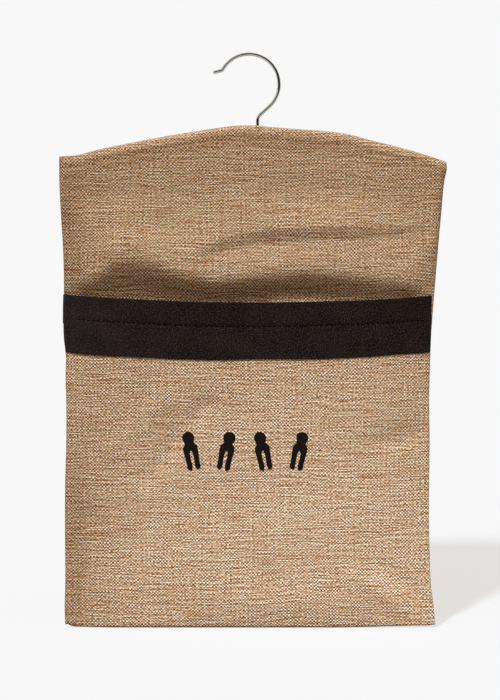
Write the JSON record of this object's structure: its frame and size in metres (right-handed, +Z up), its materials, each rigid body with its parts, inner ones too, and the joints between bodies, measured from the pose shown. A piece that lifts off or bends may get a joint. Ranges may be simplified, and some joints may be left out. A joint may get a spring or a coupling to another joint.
{
  "type": "peg bag",
  "caption": "Hanging cloth peg bag: a wire hook swivels in a wooden bar inside the top, and the open front pocket is edged with a folded dark band.",
  "frame": {"origin": "underside of the hook's crown, where a rail bears", "axes": "+Z up, -Y out of the front, +X to the right seen from the front"},
  "size_m": [0.3578, 0.0377, 0.5344],
  "materials": {
    "jute": "open plain weave, natural brown with darker slubs",
    "cotton": "matt black woven cotton",
    "wood": "plain, sanded",
    "steel": "bright plated wire",
    "tan_thread": "spun thread",
    "black_thread": "spun thread"
  },
  "bodies": {
    "hook": {"hook": "steel"},
    "bag": {"hook_washer": "steel", "hanger_bar": "wood", "back_panel": "jute", "upper_front_panel": "jute", "left_shoulder_seam": "tan_thread", "right_shoulder_seam": "tan_thread", "left_side_seam": "tan_thread", "right_side_seam": "tan_thread", "bottom_seam": "tan_thread", "flap_hem_stitch": "tan_thread"},
    "pocket_front": {"lower_front_panel": "jute", "mouth_band": "cotton", "band_topstitch": "black_thread", "band_seam": "black_thread"}
  },
  "joints": [
    {"name": "hook_swivel", "type": "hinge", "parent": "hook", "child": "bag", "pos_m": [0.008, 0, -0.08], "axis": [0, 0, 1], "continuous": true},
    {"name": "mouth_open", "type": "hinge", "parent": "bag", "child": "pocket_front", "pos_m": [0, 0, -0.5313], "axis": [1, 0, 0], "range_deg": [0, 8]}
  ]
}
